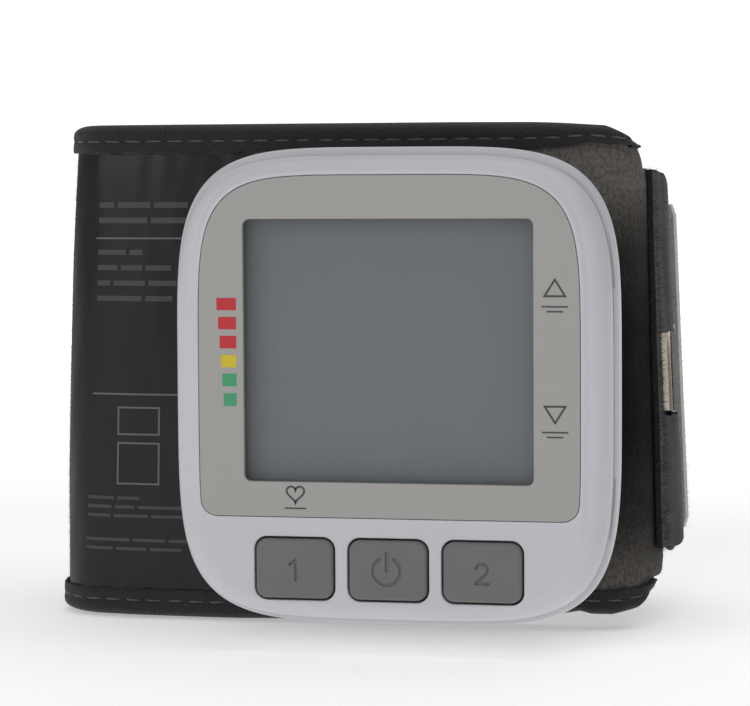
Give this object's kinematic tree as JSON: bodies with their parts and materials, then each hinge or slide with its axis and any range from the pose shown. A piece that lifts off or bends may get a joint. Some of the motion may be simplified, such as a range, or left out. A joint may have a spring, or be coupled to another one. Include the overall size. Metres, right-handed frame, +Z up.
{
  "type": "wrist blood pressure monitor",
  "caption": "Wrist blood pressure monitor: a rounded display unit with keys on a padded cuff, closed by a strap through a wire ring.",
  "frame": {"origin": "below the part's middle, on the surface the cuff's lower edge stands on", "axes": "+X to the right of someone facing the display, +Y from the display back through the cuff, +Z up"},
  "size_m": [0.0994, 0.0828, 0.0773],
  "materials": {
    "white_plastic": "satin white",
    "panel_print": "smooth printed grey",
    "clear": "clear, polished",
    "display": "grey liquid crystal behind clear glass",
    "key_plastic": "matt grey",
    "grey_plastic": "moulded grey",
    "black_plastic": "moulded black",
    "board_green": "green solder mask",
    "bright_metal": "nickel plated",
    "steel": "zinc plated",
    "black_wire": "black coated wire",
    "cell_wrap": "printed wrap",
    "rubber": "soft matt",
    "velour": "short velour pile",
    "lining": "brushed knit",
    "woven_black": "woven tape",
    "plush": "looped pile",
    "hook_plastic": "fine plastic hooks"
  },
  "bodies": {
    "monitor": {"air_bladder": "rubber", "air_inlet": "rubber", "air_manifold": "grey_plastic", "battery_tray": "white_plastic", "board_screw_1": "steel", "board_screw_2": "steel", "buzzer": "black_plastic", "case_screw_1": "steel", "case_screw_2": "steel", "case_screw_3": "steel", "case_screw_4": "steel", "cell_spring": "steel", "cuff_lining": "lining", "cuff_outer": "velour", "cuff_screw_1": "steel", "cuff_screw_2": "steel", "cuff_screw_3": "steel", "cuff_screw_4": "steel", "cuff_splint": "grey_plastic", "display_lens": "clear", "face_panel": "panel_print", "first_memory_switch": "black_plastic", "front_housing": "white_plastic", "lcd_glass": "display", "lcd_holder": "black_plastic", "lower_binding": "woven_black", "lower_cell": "cell_wrap", "lower_cell_contact": "bright_metal", "lower_lcd_connector": "rubber", "main_board": "board_green", "main_chip": "black_plastic", "power_switch": "black_plastic", "pressure_sensor": "grey_plastic", "print_window": "clear", "pump_head": "black_plastic", "pump_motor": "steel", "pump_tube": "rubber", "rear_housing": "white_plastic", "release_valve": "black_plastic", "ring_sleeve": "bright_metal", "ring_tab": "woven_black", "second_memory_switch": "black_plastic", "sensor_tube": "rubber", "strap_base": "plush", "upper_binding": "woven_black", "upper_cell": "cell_wrap", "upper_cell_contact": "bright_metal", "upper_lcd_connector": "rubber", "valve_tube": "rubber"},
    "first_memory_key": {"first_memory_key": "key_plastic"},
    "power_key": {"power_key": "key_plastic"},
    "second_memory_key": {"second_memory_key": "key_plastic"},
    "battery_door": {"battery_door": "white_plastic", "door_contact": "bright_metal", "door_spring": "steel"},
    "ring": {"strap_ring": "black_wire"},
    "strap": {"strap_end": "plush", "hook_patch": "hook_plastic", "strap_tip": "woven_black"}
  },
  "joints": [
    {"name": "first_memory_key_press", "type": "slide", "parent": "monitor", "child": "first_memory_key", "axis": [0, 1, 0], "range_m": [0, 0.0005], "stiffness_N_per_m": 2000, "springref_m": -0.0005},
    {"name": "power_key_press", "type": "slide", "parent": "monitor", "child": "power_key", "axis": [0, 1, 0], "range_m": [0, 0.0005], "stiffness_N_per_m": 2000, "springref_m": -0.0005},
    {"name": "second_memory_key_press", "type": "slide", "parent": "monitor", "child": "second_memory_key", "axis": [0, 1, 0], "range_m": [0, 0.0005], "stiffness_N_per_m": 2000, "springref_m": -0.0005},
    {"name": "battery_door_slide", "type": "slide", "parent": "monitor", "child": "battery_door", "axis": [-1, 0, 0], "range_m": [0, 0.012]},
    {"name": "ring_swing", "type": "hinge", "parent": "monitor", "child": "ring", "pos_m": [0.0465, 0.01104, 0.0391], "axis": [0.0364, 0.0184, -0.9992], "range_deg": [0, 8]},
    {"name": "strap_peel", "type": "hinge", "parent": "ring", "child": "strap", "pos_m": [0.04624, 0.01956, 0.0381], "axis": [0.0362, 0.025, -0.999], "range_deg": [0, 55]}
  ]
}
